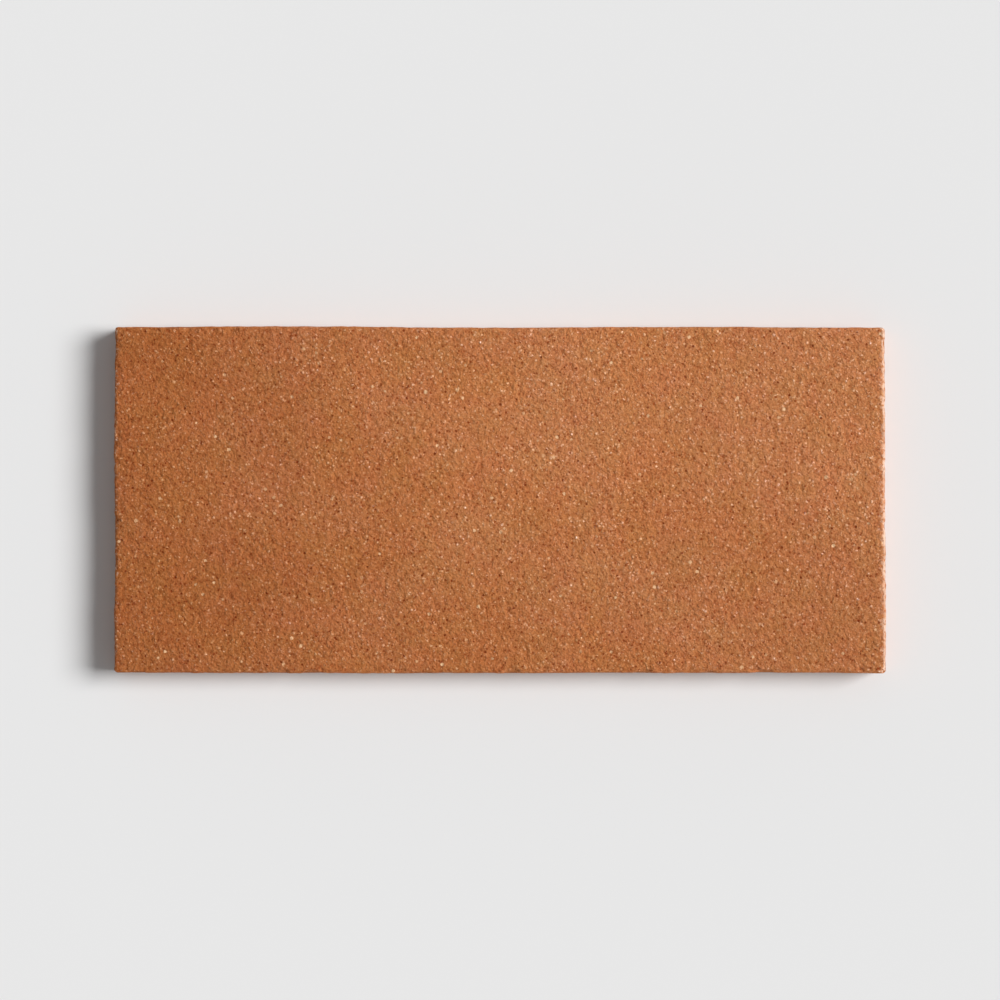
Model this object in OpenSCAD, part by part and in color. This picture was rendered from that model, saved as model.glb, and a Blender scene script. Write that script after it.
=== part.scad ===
// Rectangular terracotta floor tile: one extruded, wire-cut and fired slab of clay.
// It lies face up, with its origin at the centre of the back, on the plane of the bedding ribs.
// X runs along the extrusion, Y across it and Z up through the face. Lengths are in millimetres.

/* [Slab] */
// Length of the tile, along the extrusion
tile_length = 300; // [200:1:400]
// Width of the tile, across the extrusion
tile_width = 135; // [90:1:200]
// Thickness, from the bedding ribs to the face
tile_thickness = 15; // [10:0.5:25]
// Radius of the softened arrises round the face and of the upright corners
arris_radius = 1.5; // [0.5:0.1:3]

/* [Keyed back] */
// Spacing of the keying grooves, centre to centre
groove_pitch = 15; // [12:0.5:30]
// Width of a groove at its mouth, in the plane of the back
groove_mouth = 7; // [4:0.5:9]
// Depth of a groove
groove_depth = 2; // [1:0.1:4]
// Undercut at each side of a groove's roof, which makes it a dovetail
groove_undercut = 0.8; // [0:0.1:1.5]
// Least width of plain back left beside each long side
border_land = 8; // [4:0.5:15]

/* [Hidden] */

$fn = 64;
fired_clay = "#b06d44";
overcut = 1;

// The straight stretches between the rounded corners, and the height at which the arris begins
core_length = tile_length - 2 * arris_radius;
core_width = tile_width - 2 * arris_radius;
shoulder_height = tile_thickness - arris_radius;

// Grooves lie in pairs about the centre line, so that a rib always runs along it
groove_roof = groove_mouth + 2 * groove_undercut;
groove_room = tile_width / 2 - border_land - groove_roof / 2;
groove_pairs = floor(groove_room / groove_pitch + 1 / 2);

// Plan of the tile below the arris, with its upright corners rounded
module plan() {
    square([tile_length, core_width], center = true);
    square([core_length, tile_width], center = true);
    at_corners() circle(r = arris_radius);
}

// Repeats its children at the centres of the four rounded corners
module at_corners() {
    for (end = [-1, 1], side = [-1, 1])
        translate([end * core_length / 2, side * core_width / 2, 0]) children();
}

// The quarter-round arris along the four sides of the face, and the balls that turn its corners
module arris() {
    for (side = [-1, 1])
        translate([0, side * core_width / 2, 0])
            rotate([0, 90, 0]) cylinder(h = core_length, r = arris_radius, center = true);
    for (end = [-1, 1])
        translate([end * core_length / 2, 0, 0])
            rotate([90, 0, 0]) cylinder(h = core_width, r = arris_radius, center = true);
    at_corners() sphere(r = arris_radius);
}

// The slab as it leaves the cutter, its back still plain
module slab() {
    linear_extrude(shoulder_height) plan();
    linear_extrude(tile_thickness) square([core_length, core_width], center = true);
    translate([0, 0, shoulder_height]) arris();
}

// One dovetail groove along the whole back, open at both ends
module keying_groove() {
    rotate([90, 0, 90])
        linear_extrude(tile_length + 2 * overcut, center = true)
            polygon([
                [-groove_mouth / 2, 0],
                [-groove_mouth / 2, -overcut],
                [groove_mouth / 2, -overcut],
                [groove_mouth / 2, 0],
                [groove_roof / 2, groove_depth],
                [-groove_roof / 2, groove_depth]
            ]);
}

// The whole tile: the slab with its back keyed for the bedding mortar
module tile() {
    color(fired_clay)
        difference() {
            slab();
            for (pair = [1 : groove_pairs], side = [-1, 1])
                translate([0, side * (pair - 1 / 2) * groove_pitch, 0]) keying_groove();
        }
}

tile();
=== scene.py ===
"""Dressed model of a rectangular terracotta floor tile, in metres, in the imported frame.

One fired piece stands for the node "tile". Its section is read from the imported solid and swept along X
with the same rounded arrises, and the mesh then gets the relief of extruded, wire-cut clay.
"""
import math

import bmesh
import bpy
import numpy as np
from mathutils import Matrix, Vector, geometry, noise


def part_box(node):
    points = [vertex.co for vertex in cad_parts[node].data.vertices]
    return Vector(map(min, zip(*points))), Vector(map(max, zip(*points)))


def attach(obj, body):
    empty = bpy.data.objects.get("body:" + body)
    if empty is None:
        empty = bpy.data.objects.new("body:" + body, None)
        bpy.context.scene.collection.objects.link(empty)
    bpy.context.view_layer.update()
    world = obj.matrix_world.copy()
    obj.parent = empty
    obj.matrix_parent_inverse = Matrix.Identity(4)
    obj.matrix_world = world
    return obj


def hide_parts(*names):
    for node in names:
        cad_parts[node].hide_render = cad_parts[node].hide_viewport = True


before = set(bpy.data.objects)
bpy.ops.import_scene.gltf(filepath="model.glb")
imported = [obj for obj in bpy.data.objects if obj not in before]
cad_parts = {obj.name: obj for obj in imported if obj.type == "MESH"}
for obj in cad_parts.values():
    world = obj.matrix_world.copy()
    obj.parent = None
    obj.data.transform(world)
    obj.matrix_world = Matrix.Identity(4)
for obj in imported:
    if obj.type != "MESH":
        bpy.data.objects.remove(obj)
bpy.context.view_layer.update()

MM = 0.001

# Points closer than this are one point, and turns smaller than this are no corner
SAME_PLACE = 1e-7
STRAIGHT_TURN = 1e-3

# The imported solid's own measures
TILE_LOW, TILE_HIGH = (np.array(corner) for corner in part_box("tile"))
LENGTH, WIDTH, THICKNESS = TILE_HIGH - TILE_LOW
HALF_LENGTH, HALF_WIDTH = LENGTH / 2, WIDTH / 2

# Steps of the mesh: fine over the face and the upper sides, coarse underneath
FACE_STEP = 0.78 * MM
BACK_STEP = 2.5 * MM
BACK_STRIDE = 4
END_STEP = 1.1 * MM
ARRIS_STEPS = 5
UPPER_SIDES_FROM = 0.45 * THICKNESS

# Ease of the corners underneath, and the angle above which an edge is shaded crisp
CORNER_EASE = 0.35 * MM
CRISP_ANGLE = math.radians(40)

# Relief of the mesh: height of each kind of unevenness, and the size of its grain
SWELL, SWELL_GRAIN = 0.12 * MM, 58 * MM
RIPPLE, RIPPLE_GRAIN = 0.08 * MM, 7 * MM
SAND_RELIEF, SAND_GRAIN = 0.13 * MM, 2.1 * MM
ARRIS_WEAR, WEAR_GRAIN = 0.30 * MM, 4.5 * MM
CRUMBLE, CRUMBLE_GRAIN = 0.18 * MM, 1.9 * MM
CHIP_DEPTH, CHIP_GRAIN = 1.1 * MM, 6.5 * MM
DRAW_STREAK, DRAW_LENGTH, DRAW_GRAIN = 0.07 * MM, 60 * MM, 1.6 * MM
WIRE_TEAR, TEAR_HEIGHT, TEAR_WIDTH, TEAR_GRAIN = 0.22 * MM, 9 * MM, 1.8 * MM, 3.2 * MM

# Shares of straight lines and of lumps in the tear of the wire
TEAR_LINES, TEAR_LUMPS = 0.6, 0.8

# Layered noise: how quickly its layers fade, how much finer each one is, and their number
RIPPLE_LAYERS = (0.9, 2.1, 3)
TEAR_LAYERS = (0.8, 2.1, 2)

# Waves of the edges: how far they stray, how deep into the face that reaches, and the long and short waves
EDGE_WAVE = 0.40 * MM
EDGE_REACH = 12 * MM
END_WAVES = (38 * MM, 8 * MM)
SIDE_WAVES = (46 * MM, 9 * MM)

# Share of the short waves, how far the edges are set inwards, and the seeds of the noise
SHORT_WAVE_SHARE = 0.35
INWARD_SHARE = 0.5
END_SEED, SIDE_SEED, SHORT_WAVE_SEED = 1, 7, 3

# How far wear, and the pale rim of painted highlight, reach from an arris, and the rim's share at the -X
# end, which is less worn and faces away from the key light
RIM_REACH = 3.5 * MM
SHADED_END_RIM = 0.4

# Noise above the first level starts a chip, and above the second the chip is at its full depth
CHIP_LEVELS = (0.28, 0.55)

# A surface passes into a cut end or a drawn face as its normal turns that way, between these two shares
FACING = (0.5, 0.95)

# The normal of a surface that looks down has a Z below this
DOWNWARD = -0.5

# How steeply the notes of the arris, and of the worn end with its painted highlight, rise to one
ARRIS_RISE = 2.2
WORN_HIGHLIGHT_RISE = 1.3

# Places in the noise that keep one wave, or the chips, from following another
SEED_STEP = Vector((17.3, 5.1, 9.7))
CHIP_PLACE = Vector((31, 7, 3))

# Share of the picture's width that the tile's length takes up, and the lens
PICTURE_SHARE = 0.773
LENS_MM = 110
SENSOR_MM = 36

# The key light comes from the right of the picture, a little from its top, and is as soft as it is wide
KEY_AZIMUTH = math.radians(10)
KEY_ELEVATION = math.radians(42)
KEY_WIDTH = math.radians(30)
KEY_SHARE = 0.75

# Brightness of the ceiling, and the heights on the sky between which the walls pass into it
CEILING = 0.22
WALL_TOP = 0.05
CEILING_EDGE = 0.35

# Half the width of the floor, in metres
FLOOR_REACH = 12.0


def linear(red, green, blue):
    """Linear colour, with alpha, of an 8-bit display colour."""

    def channel(value):
        value = value / 255
        return value / 12.92 if value <= 0.04045 else ((value + 0.055) / 1.055) ** 2.4

    return (channel(red), channel(green), channel(blue), 1.0)


# Colours of the fired clay, of what is in it, of painted shade and highlight on it, and of the floor
CLAY_BROWN = linear(174, 102, 56)
CLAY_LIGHT = linear(201, 127, 77)
CLAY_SKIN = linear(208, 134, 86)
# Pale rim of the ends: worn clay, with painted highlight in it
WORN_CLAY_AND_HIGHLIGHT = linear(238, 198, 172)
# Painted shade in the pits and in the wire's tears
CREVICE_SHADE = linear(118, 34, 2)
GROG_TAN = linear(205, 140, 92)
GROG_CREAM = linear(250, 208, 162)
IRON_DARK = linear(108, 42, 10)
IRON_RED = linear(148, 66, 24)
PALE_GREY = linear(232, 232, 232)

# Factors on the red, green and blue of the body: in its faint clouds, in sunk sand and pebble hollows as
# painted shade, in proud sand, which is pale, and on pebble crowns as painted highlight
ROSY_TINT = (1.025, 0.975, 1.0, 1.0)
OCHRE_TINT = (0.975, 1.02, 0.95, 1.0)
PINK_TINT = (1.0, 1.02, 1.10, 1.0)
ORANGE_TINT = (1.0, 0.99, 0.95, 1.0)
SUNK_SHADE_TINT = (0.42, 0.12, 0.01)
PROUD_TINT = (1.7, 2.6, 4.2)

# Strength and colour of the faint gloss on dusty clay
GLOSS = 0.2
GLOSS_TINT = (1.0, 0.62, 0.3, 1.0)

# Kiln tone and painted light, paler towards the key light at +X and towards +Y: places along X between
# which brown turns to light, the share of that at the -Y side, and its drift
BROWN_FROM, LIGHT_FROM = -1.1 * HALF_LENGTH, 0.2 * HALF_LENGTH
DIM_SIDE = 0.6
FIRING_DRIFT = 0.12

# Clouds of colour: sizes, levels of noise between which they change, and the pink added towards one end
FIRING_CLOUD = 45 * MM
SMALL_CLOUD = 14 * MM
BROAD_CLOUD = 34 * MM
CLOUD_LEVELS = (0.3, 0.7)
BROAD_LEVELS = (0.35, 0.65)
PINK_END = 0.5

# Sizes of the sand, the pebbly unevenness and the wide lumps, and of the rag of the grains' borders
COARSE_SAND = 0.9 * MM
FINE_SAND = 0.5 * MM
PEBBLE = 1.7 * MM
LUMP = 3.4 * MM
RAG_SIZE, RAG_REACH = 0.7 * MM, 0.8 * MM

# Greatest share of dark tint, which is painted shade, and of pale tint in coarse and fine sand, and of
# painted shade in pebble hollows and painted highlight on their crowns
COARSE_SHADES = (0.85, 0.95)
FINE_SHADES = (0.65, 0.7)
HOLLOW_SHADE, CROWN_HIGHLIGHT = 0.36, 0.12

# Levels of the pebbly noise between which the painted shade of a hollow, and the painted highlight of a
# crown, grow from none to full
HOLLOW_LEVELS = (0.52, 0.25)
CROWN_LEVELS = (0.48, 0.75)

# High powers leave few grains dark, and still fewer pale
SUNK_POWER, PROUD_POWER = 3.0, 8.0

# Distances from a sand grain's centre, in cells, between which its tint grows from none to full
GRAIN_BORDER, GRAIN_CORE = 0.8, 0.2

# Single grains: spacing of the places for them, share of places that hold one, least and greatest radius
GROG = (3.2 * MM, 0.26, 0.30 * MM, 0.95 * MM)
IRON = (4.0 * MM, 0.20, 0.30 * MM, 0.75 * MM)
PITS = (2.4 * MM, 0.30, 0.25 * MM, 0.65 * MM)

# How strongly each kind of grain covers the clay, and the distances from its centre, in radii, between
# which it goes from hidden to full
# The dark of the pits is painted shade
GROG_SHARE, IRON_SHARE, PIT_SHARE = 0.85, 0.8, 0.85
GRAIN_EDGE = (1.0, 0.55)

# Share of grog and pits that die and wire hide, and shares of skin, plain body and the painted shade of
# tears on their faces
RAW_COVER = 0.6
SKIN_SHARE = 0.35
CUT_SHARE = 0.4
TORN_SHADE_SHARE = 0.35

# Levels of the streaks' noise between which the skin, and the painted shade of the tears, grow from none to
# full
SKIN_LEVELS = (0.35, 0.65)
TORN_LEVELS = (0.5, 0.3)

# Streaks: lengths along X, Y and Z
DIE_STREAK = (36 * MM, 1.5 * MM, 1.5 * MM)
WIRE_STREAK = (9 * MM, 1.5 * MM, 7 * MM)

# Pale rim of the ends, worn clay with painted highlight, fullest at the +X end towards the key light: size
# and depth of its teeth, size of its patches, levels of noise between which the rim and its patches grow to
# the full, and the least share in a patch and off the arris itself
RIM_TOOTH, TOOTH_DEPTH = 1.3 * MM, 2.4
RIM_PATCH = 5 * MM
RIM_LEVELS = (0.3, 0.85)
PATCH_LEVELS = (0.38, 0.6)
THIN_PATCH = 0.5
RIM_OFF_ARRIS = 0.4

# Roughness of sunk and of proud grains, the heights between which it changes, and what die and wire add
SUNK_ROUGHNESS, PROUD_ROUGHNESS = 0.70, 0.52
DOME_RANGE = (-0.2, 0.9)
RAW_ROUGHNESS = 0.22

# Heights of the bumps that are finer than the mesh. Their mean is taken off, so that no step shows
# where one kind of surface meets another
COARSE_BUMP = 0.25 * MM
FINE_BUMP = 0.10 * MM
PEBBLE_BUMP = 0.7 * MM
LUMP_BUMP = 0.4 * MM
PIT_BUMP = -0.10 * MM
MEAN_BUMP = 0.65 * MM
DIE_BUMP = 0.4 * MM
WIRE_BUMP = 1.2 * MM

# Share of those bumps that is rubbed off on the arrises and closed by the die on drawn faces
ARRIS_RUB = 0.25
DRAWN_RUB = 0.3

# Kinds of surface that the mesh notes for the material
SURFACE_KINDS = ("arris", "worn_and_highlit_end", "cut", "drawn")

# Textures are turned out of the tile's own axes, so that no grid of theirs shows on its faces
TEXTURE_TURN = (0.6, 0.4, 0.9)

# Mean of a noise texture
NOISE_MEAN = 0.5


def smooth_step(low, high, value):
    """Zero below low, one above high, and a smooth rise between."""
    share = np.clip((value - low) / (high - low), 0, 1)
    return share * share * (3 - 2 * share)


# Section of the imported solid

def cad_section():
    """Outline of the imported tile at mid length: its (y, z) corners, along the face to -Y and round."""
    slab = bmesh.new()
    slab.from_mesh(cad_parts["tile"].data)
    bmesh.ops.remove_doubles(slab, verts=slab.verts, dist=SAME_PLACE)
    everything = slab.verts[:] + slab.edges[:] + slab.faces[:]
    bmesh.ops.bisect_plane(
        slab, geom=everything, dist=SAME_PLACE, plane_co=(0, 0, 0), plane_no=(1, 0, 0), clear_inner=True
    )
    on_plane = {vert for vert in slab.verts if abs(vert.co.x) < SAME_PLACE}
    neighbours = {
        vert: [edge.other_vert(vert) for edge in vert.link_edges if edge.other_vert(vert) in on_plane]
        for vert in on_plane
    }
    start = max(on_plane, key=lambda vert: (round(vert.co.z / MM, 3), vert.co.y))
    walk = [start, min(neighbours[start], key=lambda vert: vert.co.y)]
    while True:
        ahead = [vert for vert in neighbours[walk[-1]] if vert is not walk[-2]]
        if ahead[0] is start:
            break
        walk.append(ahead[0])
    outline = [np.array((vert.co.y, vert.co.z)) for vert in walk]
    slab.free()
    return without_straight_points(outline)


def with_neighbours(outline):
    """Each point of a closed outline with the points before and after it."""
    return zip(outline[-1:] + outline[:-1], outline, outline[1:] + outline[:1])


def without_straight_points(outline):
    """The outline's corners alone: points on a straight run between their neighbours are dropped."""
    kept = []
    for before, here, after in with_neighbours(outline):
        first, second = here - before, after - here
        turn = first[0] * second[1] - first[1] * second[0]
        if abs(turn) > STRAIGHT_TURN * np.linalg.norm(first) * np.linalg.norm(second):
            kept.append(here)
    return kept


def eased(outline, top):
    """The outline with each corner below a height cut back by the ease that soft clay has."""
    kept = []
    for before, here, after in with_neighbours(outline):
        if here[1] > top:
            kept.append(here)
            continue
        for other in (before, after):
            kept.append(here + CORNER_EASE * (other - here) / np.linalg.norm(other - here))
    return kept


def densified(outline):
    """The outline's corners with steps between them, fine above the split of the sides."""
    points = []
    for here, after in zip(outline, outline[1:] + outline[:1]):
        stretches = [(here, after)]
        if (here[1] - UPPER_SIDES_FROM) * (after[1] - UPPER_SIDES_FROM) < 0:
            share = (UPPER_SIDES_FROM - here[1]) / (after[1] - here[1])
            split = here + share * (after - here)
            stretches = [(here, split), (split, after)]
        for first, last in stretches:
            is_fine = (first[1] + last[1]) / 2 > UPPER_SIDES_FROM
            step = FACE_STEP if is_fine else BACK_STEP
            count = max(1, round(np.linalg.norm(last - first) / step))
            points += [first + (last - first) * index / count for index in range(count)]
    return points


CORNERS = cad_section()
ARRIS = THICKNESS - max(z for y, z in CORNERS if abs(y) > HALF_WIDTH - SAME_PLACE)
CORE_HIGH = np.array((HALF_LENGTH - ARRIS, HALF_WIDTH - ARRIS, THICKNESS - ARRIS))
CORE_LOW = np.array((-CORE_HIGH[0], -CORE_HIGH[1], 0))
GROOVE_ROOF = max(z for y, z in CORNERS if z < THICKNESS / 2)


# Mesh of the slab

def at_split(point):
    """Whether a point of the section lies where the fine upper sides meet the coarse lower ones."""
    return abs(point[1] - UPPER_SIDES_FROM) < SAME_PLACE


def chains():
    """The section as two runs of points: up, over the face and down, and then round the back."""
    outline = densified(eased(CORNERS, GROOVE_ROOF + CORNER_EASE))
    splits = [index for index, point in enumerate(outline) if at_split(point)]
    first = max(splits, key=lambda index: outline[index][0])
    turned = outline[first:] + outline[:first]
    second = next(index for index in range(1, len(turned)) if at_split(turned[index]))
    return np.array(turned[: second + 1]), np.array(turned[second:] + turned[:1])


def stations():
    """Places along the length: close together round the end arrises, even between them."""
    bend = [ARRIS * (1 - math.cos(math.pi / 2 * index / ARRIS_STEPS)) for index in range(ARRIS_STEPS)]
    count = round((LENGTH - 2 * ARRIS) / FACE_STEP / BACK_STRIDE) * BACK_STRIDE
    straight = np.linspace(ARRIS, LENGTH - ARRIS, count + 1)
    along = np.concatenate((bend, straight, LENGTH - np.array(bend[::-1])))
    return along - HALF_LENGTH


def ring(section, x):
    """The section at one place along the length, drawn in towards the core round the end arrises."""
    y, z = section.T
    core_y = np.clip(y, CORE_LOW[1], CORE_HIGH[1])
    core_z = np.minimum(z, CORE_HIGH[2])
    away = np.stack((y - core_y, z - core_z), 1)
    reach = np.linalg.norm(away, axis=1, keepdims=True)
    in_bend = (np.abs(away) > SAME_PLACE).all(axis=1, keepdims=True)
    away = np.where(in_bend, away * ARRIS / np.maximum(reach, SAME_PLACE), away)
    past_core = max(0.0, abs(x) - CORE_HIGH[0]) / ARRIS
    share = math.sqrt(max(0.0, 1 - past_core * past_core))
    return [(x, a + share * dy, b + share * dz) for a, b, (dy, dz) in zip(core_y, core_z, away)]


def add_face_rings(vertices, faces, section, places):
    """Add the fine rings over the face and the upper sides. Returns the numbers of each ring's points."""
    rings = []
    for x in places:
        rings.append(range(len(vertices), len(vertices) + len(section)))
        vertices += ring(section, x)
    for low, high in zip(rings, rings[1:]):
        faces += [(low[j], high[j], high[j + 1], low[j + 1]) for j in range(len(section) - 1)]
    return rings


def back_stations(count):
    """Numbers of the stations that the coarse back uses: all round the end arrises, then every few."""
    middle = range(ARRIS_STEPS, count - ARRIS_STEPS, BACK_STRIDE)
    return [*range(ARRIS_STEPS), *middle, *range(count - ARRIS_STEPS, count)]


def add_back_rings(vertices, faces, section, places, face_rings):
    """Add the coarse rings round the back, which close every few of the face's rings.

    Returns the numbers of each ring's points, under the number of its station.
    """
    rings = {}
    used = back_stations(len(places))
    for number in used:
        inner = ring(section[1:-1], places[number])
        new = range(len(vertices), len(vertices) + len(inner))
        rings[number] = [face_rings[number][-1], *new, face_rings[number][0]]
        vertices += inner
    for low, high in zip(used, used[1:]):
        near, far = rings[low], rings[high]
        passed = range(low + 1, high)
        first_seam = [face_rings[number][-1] for number in passed]
        last_seam = [face_rings[number][0] for number in reversed(passed)]
        faces += [(near[j], far[j], far[j + 1], near[j + 1]) for j in range(1, len(near) - 2)]
        faces.append((near[0], *first_seam, far[0], far[1], near[1]))
        faces.append((near[-2], far[-2], far[-1], *last_seam, near[-1]))
    return rings


def add_end_cap(vertices, faces, loop):
    """Fill one end with triangles, which have points inside it for the wire-cut relief."""
    rim = []
    for index in loop:
        if not rim or math.dist(vertices[rim[-1]], vertices[index]) > SAME_PLACE:
            rim.append(index)
    x = vertices[loop[0]][0]
    margin = END_STEP / 2
    columns = np.arange(CORE_LOW[1] + margin, CORE_HIGH[1] - margin, END_STEP)
    rows = np.arange(GROOVE_ROOF + margin, CORE_HIGH[2] - margin, END_STEP)
    inside = [(y, z) for y in columns for z in rows]
    flat = [Vector(vertices[index][1:]) for index in rim] + [Vector(point) for point in inside]
    border = [(index, (index + 1) % len(rim)) for index in range(len(rim))]
    inside_only = 1
    drawn, _, triangles, sources, _, _ = geometry.delaunay_2d_cdt(flat, border, [], inside_only, SAME_PLACE)
    names = []
    for point, source in zip(drawn, sources):
        if source[0] < len(rim):
            names.append(rim[source[0]])
        else:
            names.append(len(vertices))
            vertices.append((x, *point))
    faces += [tuple(names[index] for index in triangle) for triangle in triangles]


def closed_mesh(vertices, faces):
    """One mesh of the points and faces, its doubles joined and its normals outwards."""
    mesh = bmesh.new()
    made = [mesh.verts.new(vertex) for vertex in vertices]
    for face in faces:
        mesh.faces.new([made[index] for index in face])
    bmesh.ops.remove_doubles(mesh, verts=mesh.verts, dist=SAME_PLACE)
    bmesh.ops.recalc_face_normals(mesh, faces=mesh.faces)
    bmesh.ops.triangulate(mesh, faces=[face for face in mesh.faces if len(face.verts) > 4])
    data = bpy.data.meshes.new("terracotta_tile")
    mesh.to_mesh(data)
    mesh.free()
    return data


def slab_mesh():
    """Closed mesh of the true slab, before any relief."""
    upper, lower = chains()
    places = stations()
    vertices = []
    faces = []
    over = add_face_rings(vertices, faces, upper, places)
    under = add_back_rings(vertices, faces, lower, places, over)
    for number in (0, len(places) - 1):
        add_end_cap(vertices, faces, [*over[number], *under[number][1:-1]])
    return closed_mesh(vertices, faces)


# Relief of the fired surface

def waver(seed, place):
    """Smooth noise between about -1 and 1 along a line, at a place in units of its own grain."""
    return noise.noise(Vector((place, 0, 0)) + SEED_STEP * seed)


def edge_wave(along, waves, seed):
    """How far an edge strays outwards at a place along it: a long and a short wave, set inwards."""
    long_wave, short_wave = waves
    short = SHORT_WAVE_SHARE * waver(seed + SHORT_WAVE_SEED, along / short_wave)
    return waver(seed, along / long_wave) + short - INWARD_SHARE


def edge_shift(x, y):
    """Sideways shift near the ends and the long sides, which never come out quite straight."""
    near_end = smooth_step(HALF_LENGTH - EDGE_REACH, HALF_LENGTH, abs(x))
    near_side = smooth_step(HALF_WIDTH - EDGE_REACH, HALF_WIDTH, abs(y))
    end, side = math.copysign(1, x), math.copysign(1, y)
    along_x = near_end * edge_wave(y, END_WAVES, END_SEED + end)
    along_y = near_side * edge_wave(x, SIDE_WAVES, SIDE_SEED + side)
    return EDGE_WAVE * end * along_x, EDGE_WAVE * side * along_y


def rim_height(spot):
    """Height that wear, crumbling and chips leave near the arrises of the face."""
    inset = min(HALF_LENGTH - abs(spot.x), HALF_WIDTH - abs(spot.y))
    rim = max(0.0, 1 - (max(0.0, inset) + THICKNESS - spot.z) / RIM_REACH)
    if rim == 0:
        return 0.0
    wear = ARRIS_WEAR * (0.5 + 0.5 * noise.noise(spot / WEAR_GRAIN))
    crumble = CRUMBLE * noise.noise(spot / CRUMBLE_GRAIN)
    bite = smooth_step(*CHIP_LEVELS, noise.noise(spot / CHIP_GRAIN + CHIP_PLACE))
    return rim * (crumble - wear - CHIP_DEPTH * float(bite))


def tool_height(spot, normal):
    """Height of the marks of the die along the sides and back, and of the wire on the ends."""
    drawn = max(abs(normal.y), -normal.z, 0.0)
    streak = noise.noise(Vector((spot.x / DRAW_LENGTH, spot.y / DRAW_GRAIN, spot.z / DRAW_GRAIN)))
    tear = TEAR_LINES * noise.noise(Vector((0, spot.y / TEAR_WIDTH, spot.z / TEAR_HEIGHT)))
    tear += TEAR_LUMPS * noise.fractal(spot / TEAR_GRAIN, *TEAR_LAYERS)
    return DRAW_STREAK * streak * drawn + WIRE_TEAR * tear * abs(normal.x)


def surface_height(spot, normal):
    """Height of the fired skin over the true slab, along its normal."""
    upward = max(0.0, normal.z)
    height = SWELL * noise.noise(spot / SWELL_GRAIN) * upward
    height += RIPPLE * noise.fractal(spot / RIPPLE_GRAIN, *RIPPLE_LAYERS)
    height += SAND_RELIEF * noise.noise(spot / SAND_GRAIN) * upward
    height += rim_height(spot) + tool_height(spot, normal)
    is_bedding_rib = normal.z < DOWNWARD and spot.z < GROOVE_ROOF / 2
    return -abs(height) if is_bedding_rib else height


def surface_kinds(place, normal):
    """Shares, in the order of SURFACE_KINDS, to which a point of the true slab is each kind of surface."""
    out = np.abs(np.array(place) - np.clip(np.array(place), CORE_LOW, CORE_HIGH)) / ARRIS
    upward, sideways = out[2], max(out[0], out[1])
    arris = min(1.0, ARRIS_RISE * upward * sideways)
    # The pale rim is painted highlight as well as wear: full at the +X end, which faces the key light, and
    # weaker at the -X end in shade
    wear = 1.0 if place.x > 0 else SHADED_END_RIM
    nearness = max(0.0, 1 - (HALF_LENGTH - abs(place.x)) / RIM_REACH)
    worn_and_highlit_end = wear * min(1.0, WORN_HIGHLIGHT_RISE * upward) * nearness
    cut = smooth_step(*FACING, abs(normal.x))
    drawn = smooth_step(*FACING, max(abs(normal.y), -normal.z))
    return arris, worn_and_highlit_end, cut, drawn


def add_relief(data):
    """Move every vertex to the fired skin, and note what kind of surface it lies on."""
    base = [vertex.co.copy() for vertex in data.vertices]
    normals = [vertex.normal.copy() for vertex in data.vertices]
    kinds = []
    moved = []
    for place, normal in zip(base, normals):
        kinds.append(surface_kinds(place, normal))
        shift_x, shift_y = edge_shift(place.x, place.y)
        point = place + normal * surface_height(place, normal) + Vector((shift_x, shift_y, 0))
        moved.append((point.x, point.y, max(0.0, point.z)))
    data.vertices.foreach_set("co", np.array(moved, dtype=np.float32).ravel())
    for name, values in zip(SURFACE_KINDS, zip(*kinds)):
        attribute = data.attributes.new(name, "FLOAT", "POINT")
        attribute.data.foreach_set("value", np.array(values, dtype=np.float32))
    data.update()


def terracotta_tile():
    """The fired piece, smooth over its skin and crisp along the keying grooves."""
    data = slab_mesh()
    data.shade_smooth()
    data.set_sharp_from_angle(angle=CRISP_ANGLE)
    add_relief(data)
    piece = bpy.data.objects.new("terracotta_tile", data)
    bpy.context.collection.objects.link(piece)
    return piece


# Materials

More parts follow.
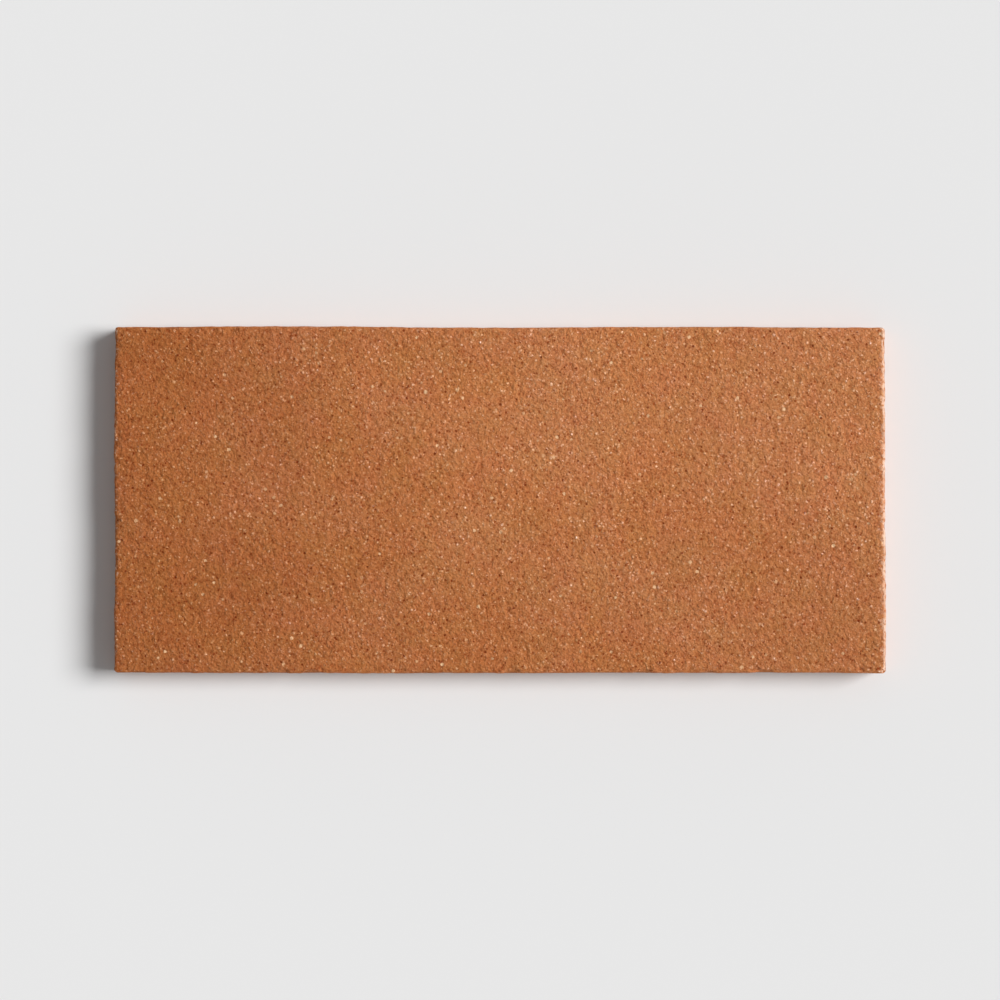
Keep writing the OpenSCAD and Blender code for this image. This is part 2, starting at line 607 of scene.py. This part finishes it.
class Nodes:
    """Short calls for building one node tree."""

    def __init__(self, tree):
        self.tree = tree

    def add(self, kind, inputs=None, **settings):
        """A new node with its settings, and its inputs set or linked."""
        node = self.tree.nodes.new(kind)
        for name, value in settings.items():
            setattr(node, name, value)
        for name, value in (inputs or {}).items():
            self.feed(node.inputs[name], value)
        return node

    def feed(self, socket, value):
        """Link an input to another node's output, or set it to a constant."""
        if isinstance(value, bpy.types.NodeSocket):
            self.tree.links.new(value, socket)
        else:
            socket.default_value = value

    def math(self, operation, *values):
        """One calculation on numbers."""
        node = self.add("ShaderNodeMath", operation=operation)
        for socket, value in zip(node.inputs, values):
            self.feed(socket, value)
        return node.outputs[0]

    def vector(self, operation, *values):
        """One calculation on vectors or colours."""
        node = self.add("ShaderNodeVectorMath", operation=operation)
        for socket, value in zip(node.inputs, values):
            self.feed(socket, value)
        return node.outputs[0]

    def product(self, *values):
        """Several numbers multiplied together."""
        result = values[0]
        for value in values[1:]:
            result = self.math("MULTIPLY", result, value)
        return result

    def ramp(self, value, low, high, start=0.0, end=1.0):
        """A smooth change from start to end as the value goes from low to high."""
        inputs = {"Value": value, "From Min": low, "From Max": high, "To Min": start, "To Max": end}
        return self.add("ShaderNodeMapRange", inputs, interpolation_type="SMOOTHSTEP").outputs["Result"]

    def mix(self, share, first, second):
        """A colour between two, by the share of the second."""
        node = self.add("ShaderNodeMix", data_type="RGBA")
        sockets = [socket for socket in node.inputs if socket.enabled]
        for socket, value in zip(sockets, (share, first, second)):
            self.feed(socket, value)
        return next(socket for socket in node.outputs if socket.enabled)

    def tinted(self, colour, share, tint):
        """A colour that takes on a tint, a factor for each channel, to a share."""
        return self.mix(share, colour, self.vector("MULTIPLY", colour, tint))

    def attribute(self, name):
        """A number that the mesh holds at each point."""
        return self.add("ShaderNodeAttribute", attribute_name=name).outputs["Fac"]

    def noise(self, place, size, detail=2.0, roughness=0.5):
        """Noise between 0 and 1, with grain of one size."""
        inputs = {"Vector": place, "Scale": 1 / size, "Detail": detail, "Roughness": roughness}
        return self.add("ShaderNodeTexNoise", inputs).outputs["Fac"]

    def streaks(self, place, lengths):
        """Noise whose grain is longer one way than another."""
        scale = tuple(1 / length for length in lengths)
        stretched = self.add("ShaderNodeMapping", {"Vector": place, "Scale": scale}).outputs["Vector"]
        return self.noise(stretched, 1.0, detail=3.0, roughness=0.6)

    def warped(self, place, size, amount):
        """The place pushed about by noise, so that cells drawn at it get ragged borders."""
        push = self.add("ShaderNodeTexNoise", {"Vector": place, "Scale": 1 / size, "Detail": 2.0})
        centred = self.vector("SUBTRACT", push.outputs["Color"], (NOISE_MEAN, NOISE_MEAN, NOISE_MEAN))
        return self.vector("MULTIPLY_ADD", centred, (amount, amount, amount), place)

    def cells(self, place, size):
        """Distance to the centre of the nearest cell, in cells, and three random numbers of that cell."""
        node = self.add("ShaderNodeTexVoronoi", {"Vector": place, "Scale": 1 / size})
        parts = self.add("ShaderNodeSeparateColor", {"Color": node.outputs["Color"]})
        return node.outputs["Distance"], parts.outputs


def clay_body(nodes, flat_place, place):
    """Colour of the fired body: browner at one end, palest at one long side, with faint clouds of colour.
    That change from end to end and from side to side is partly kiln tone and partly painted light, paler
    towards the key light.

    The small clouds are rosy and ochre. The broad ones are pink and orange, and pinker at the paler end.
    """
    along = nodes.add("ShaderNodeSeparateXYZ", {"Vector": flat_place}).outputs
    # Brown turning to light is partly kiln tone and partly painted light, paler towards the key light
    lengthwise = nodes.ramp(along["X"], BROWN_FROM, LIGHT_FROM)
    crosswise = nodes.ramp(along["Y"], -HALF_WIDTH, HALF_WIDTH / 2, DIM_SIDE, 1.0)
    drift = nodes.ramp(nodes.noise(place, FIRING_CLOUD), *CLOUD_LEVELS, -FIRING_DRIFT, FIRING_DRIFT)
    firing_and_light = nodes.math("MULTIPLY_ADD", lengthwise, crosswise, drift)
    body = nodes.mix(firing_and_light, CLAY_BROWN, CLAY_LIGHT)
    small_cloud = nodes.ramp(nodes.noise(place, SMALL_CLOUD, detail=4.0, roughness=0.65), *CLOUD_LEVELS)
    tint = nodes.mix(small_cloud, ROSY_TINT, OCHRE_TINT)
    broad_cloud = nodes.ramp(nodes.noise(place, BROAD_CLOUD, detail=3.0, roughness=0.6), *BROAD_LEVELS)
    pinker = nodes.math("ADD", broad_cloud, nodes.ramp(along["X"], 0.0, HALF_LENGTH, 0.0, PINK_END))
    broad_tint = nodes.mix(pinker, ORANGE_TINT, PINK_TINT)
    return nodes.vector("MULTIPLY", nodes.vector("MULTIPLY", body, tint), broad_tint)


def sanded(nodes, colour, place, size, shades):
    """A colour with sand of one size in it, and the rounded height of the sand's grains.

    Sunk grains are darkened with painted shade, and proud ones are pale.
    """
    darkest, palest = shades
    distance, randoms = nodes.cells(place, size)
    level = nodes.math("MULTIPLY_ADD", randoms[0], 2.0, -1.0)
    below = nodes.math("MAXIMUM", nodes.math("MULTIPLY", level, -1.0), 0.0)
    above = nodes.math("MAXIMUM", level, 0.0)
    darkness = nodes.ramp(distance, GRAIN_BORDER, GRAIN_CORE, 0.0, darkest)
    paleness = nodes.ramp(distance, GRAIN_BORDER, GRAIN_CORE, 0.0, palest)
    sunk = nodes.product(nodes.math("POWER", below, SUNK_POWER), darkness)
    proud = nodes.product(nodes.math("POWER", above, PROUD_POWER), paleness)
    # Sunk grains take painted shade, and proud grains are pale
    colour = nodes.tinted(colour, sunk, SUNK_SHADE_TINT)
    colour = nodes.tinted(colour, proud, PROUD_TINT)
    dome = nodes.math("SUBTRACT", randoms[0], nodes.math("MULTIPLY", distance, distance))
    return colour, dome


def pebbled(nodes, colour, place):
    """A colour with painted shade in the hollows of a pebbly surface and painted highlight on its crowns,
    and its height.
    """
    pebbles = nodes.noise(place, PEBBLE, roughness=0.6)
    # Painted shade in the hollows and painted highlight on the crowns
    colour = nodes.tinted(colour, nodes.ramp(pebbles, *HOLLOW_LEVELS, 0.0, HOLLOW_SHADE), SUNK_SHADE_TINT)
    colour = nodes.tinted(colour, nodes.ramp(pebbles, *CROWN_LEVELS, 0.0, CROWN_HIGHLIGHT), PROUD_TINT)
    return colour, pebbles


def grains(nodes, place, spacing, share, smallest, largest):
    """Single grains set in the clay: how far each shows at the surface, and a random shade for it."""
    distance, randoms = nodes.cells(place, spacing)
    present = nodes.math("LESS_THAN", randoms[0], share)
    radius = nodes.math("MULTIPLY_ADD", randoms[1], (largest - smallest) / spacing, smallest / spacing)
    depth = nodes.math("DIVIDE", distance, radius)
    shown = nodes.ramp(depth, *GRAIN_EDGE)
    return nodes.product(shown, present), randoms[2]


def speckled(nodes, colour, place, bare):
    """The colour with cream grog, dark iron spots and small pits in it, and where the pits are. The pits
    are darkened with painted shade.

    Grog and pits show in full where the clay is bare of its skin.
    """
    grog, grog_shade = grains(nodes, place, *GROG)
    cream = nodes.mix(grog_shade, GROG_TAN, GROG_CREAM)
    colour = nodes.mix(nodes.product(grog, bare, GROG_SHARE), colour, cream)
    iron, iron_shade = grains(nodes, place, *IRON)
    rust = nodes.mix(iron_shade, IRON_DARK, IRON_RED)
    colour = nodes.mix(nodes.product(iron, IRON_SHARE), colour, rust)
    pits, _ = grains(nodes, place, *PITS)
    pits = nodes.product(pits, bare)
    # The pits are darkened with painted shade
    colour = nodes.mix(nodes.product(pits, PIT_SHARE), colour, CREVICE_SHADE)
    return colour, pits


def tooled(nodes, colour, body, drawn, die_streak, cut, wire_streak):
    """The colour on the tooled faces.

    The die closes a paler skin over the sand of the sides and back, and the wire tears the ends, with
    painted shade in the tears.
    """
    skin = nodes.mix(nodes.ramp(die_streak, *SKIN_LEVELS), body, CLAY_SKIN)
    colour = nodes.mix(nodes.product(drawn, SKIN_SHARE), colour, skin)
    colour = nodes.mix(nodes.product(cut, CUT_SHARE), colour, body)
    # The wire's tears are darkened with painted shade
    torn_shade = nodes.product(cut, nodes.ramp(wire_streak, *TORN_LEVELS, 0.0, TORN_SHADE_SHARE))
    return nodes.mix(torn_shade, colour, CREVICE_SHADE)


def highlight_rimmed(nodes, colour, place, worn_and_highlit_end, arris):
    """The colour with a pale ragged rim along the ends, worn clay with painted highlight, palest on the
    arris and broken into patches.
    """
    teeth = nodes.math("SUBTRACT", nodes.noise(place, RIM_TOOTH, roughness=0.6), NOISE_MEAN)
    # The pale rim is worn clay with painted highlight in it
    worn = nodes.ramp(nodes.math("MULTIPLY_ADD", teeth, TOOTH_DEPTH, worn_and_highlit_end), *RIM_LEVELS)
    on_arris = nodes.math("MULTIPLY_ADD", arris, 1 - RIM_OFF_ARRIS, RIM_OFF_ARRIS)
    patches = nodes.ramp(nodes.noise(place, RIM_PATCH), *PATCH_LEVELS, THIN_PATCH, 1.0)
    return nodes.mix(nodes.product(worn, on_arris, patches), colour, WORN_CLAY_AND_HIGHLIGHT)


def rubbed(nodes, height, share, kind):
    """A height that is less by a share on one kind of surface."""
    return nodes.product(height, nodes.math("MULTIPLY_ADD", kind, -share, 1.0))


def streaked(nodes, height, streak, kind, depth):
    """A height with streaks about its mean on one kind of surface."""
    centred = nodes.math("SUBTRACT", streak, NOISE_MEAN)
    return nodes.math("MULTIPLY_ADD", centred, nodes.product(kind, depth), height)


def terracotta():
    """Unglazed fired clay with sandy faces, drawn sides and back, wire-cut ends and worn arrises, with
    painted highlight on the rims of the ends.
    """
    material = bpy.data.materials.new("terracotta")
    material.use_nodes = True
    nodes = Nodes(material.node_tree)
    surface = material.node_tree.nodes["Principled BSDF"]
    arris, worn_and_highlit_end, cut, drawn = (nodes.attribute(name) for name in SURFACE_KINDS)
    raw = nodes.math("MAXIMUM", cut, drawn)
    bare = nodes.math("MULTIPLY_ADD", raw, -RAW_COVER, 1.0)
    flat_place = nodes.add("ShaderNodeTexCoord").outputs["Object"]
    turned = nodes.add("ShaderNodeMapping", {"Vector": flat_place, "Rotation": TEXTURE_TURN})
    place = turned.outputs["Vector"]
    ragged = nodes.warped(place, RAG_SIZE, RAG_REACH)
    die_streak = nodes.streaks(flat_place, DIE_STREAK)
    wire_streak = nodes.streaks(flat_place, WIRE_STREAK)

    body = clay_body(nodes, flat_place, place)
    colour, coarse_dome = sanded(nodes, body, ragged, COARSE_SAND, COARSE_SHADES)
    colour, fine_dome = sanded(nodes, colour, ragged, FINE_SAND, FINE_SHADES)
    colour, pebbles = pebbled(nodes, colour, place)
    colour, pits = speckled(nodes, colour, ragged, bare)
    colour = tooled(nodes, colour, body, drawn, die_streak, cut, wire_streak)
    colour = highlight_rimmed(nodes, colour, place, worn_and_highlit_end, arris)
    nodes.feed(surface.inputs["Base Color"], colour)

    roughness = nodes.ramp(coarse_dome, *DOME_RANGE, SUNK_ROUGHNESS, PROUD_ROUGHNESS)
    roughness = nodes.math("MULTIPLY_ADD", raw, RAW_ROUGHNESS, roughness)
    nodes.feed(surface.inputs["Roughness"], roughness)
    surface.inputs["Specular IOR Level"].default_value = GLOSS
    surface.inputs["Specular Tint"].default_value = GLOSS_TINT

    lumps = nodes.noise(place, LUMP, detail=1.0)
    layers = (coarse_dome, fine_dome, pebbles, lumps, pits)
    height = -MEAN_BUMP
    for layer, bump in zip(layers, (COARSE_BUMP, FINE_BUMP, PEBBLE_BUMP, LUMP_BUMP, PIT_BUMP)):
        height = nodes.math("MULTIPLY_ADD", layer, bump, height)
    height = rubbed(nodes, height, ARRIS_RUB, arris)
    height = rubbed(nodes, height, DRAWN_RUB, drawn)
    height = streaked(nodes, height, die_streak, drawn, DIE_BUMP)
    height = streaked(nodes, height, wire_streak, cut, WIRE_BUMP)
    relief = nodes.add("ShaderNodeBump", {"Strength": 1.0, "Distance": 1.0, "Height": height})
    nodes.feed(surface.inputs["Normal"], relief.outputs["Normal"])
    return material


def floor_material():
    """Plain pale matt floor."""
    material = bpy.data.materials.new("pale_floor")
    material.use_nodes = True
    surface = material.node_tree.nodes["Principled BSDF"]
    surface.inputs["Base Color"].default_value = PALE_GREY
    surface.inputs["Roughness"].default_value = 1.0
    surface.inputs["Specular IOR Level"].default_value = 0.0
    return material


# Stage, light and camera

def floor():
    """Wide plain floor under the tile."""
    data = bpy.data.meshes.new("floor")
    corners = [(x * FLOOR_REACH, y * FLOOR_REACH, 0) for x, y in ((-1, -1), (1, -1), (1, 1), (-1, 1))]
    data.from_pydata(corners, [], [(0, 1, 2, 3)])
    data.materials.append(floor_material())
    ground = bpy.data.objects.new("floor", data)
    bpy.context.collection.objects.link(ground)


def key_light():
    """Wide, far light beyond the right end, which gives its share of the light that falls on the face."""
    data = bpy.data.lights.new("key", "SUN")
    data.angle = KEY_WIDTH
    data.energy = KEY_SHARE * math.pi / math.sin(KEY_ELEVATION)
    lamp = bpy.data.objects.new("key", data)
    flat = math.cos(KEY_ELEVATION)
    towards = Vector((flat * math.cos(KEY_AZIMUTH), flat * math.sin(KEY_AZIMUTH), math.sin(KEY_ELEVATION)))
    lamp.location = towards
    lamp.rotation_euler = towards.to_track_quat("Z", "Y").to_euler()
    bpy.context.collection.objects.link(lamp)


def world_light():
    """Light from all round: pale walls, the colour of the floor, under a dimmer ceiling."""
    world = bpy.data.worlds.new("studio")
    bpy.context.scene.world = world
    world.use_nodes = True
    nodes = Nodes(world.node_tree)
    direction = nodes.add("ShaderNodeTexCoord").outputs["Generated"]
    upward = nodes.add("ShaderNodeSeparateXYZ", {"Vector": direction}).outputs["Z"]
    ceiling = (CEILING, CEILING, CEILING, 1)
    light = world.node_tree.nodes["Background"]
    light.inputs["Strength"].default_value = 1.0
    overhead = nodes.ramp(upward, WALL_TOP, CEILING_EDGE)
    nodes.feed(light.inputs["Color"], nodes.mix(overhead, PALE_GREY, ceiling))


def camera():
    """Camera straight above the tile, with +X to the right of the picture."""
    data = bpy.data.cameras.new("camera")
    data.lens = LENS_MM
    data.sensor_width = SENSOR_MM
    eye = bpy.data.objects.new("camera", data)
    eye.location = (0, 0, THICKNESS + LENGTH / PICTURE_SHARE * LENS_MM / SENSOR_MM)
    bpy.context.collection.objects.link(eye)
    bpy.context.scene.camera = eye


tile = terracotta_tile()
tile.data.materials.append(terracotta())
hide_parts("tile")
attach(tile, "root")

floor()
key_light()
world_light()
camera()
bpy.context.scene.view_settings.view_transform = "Standard"
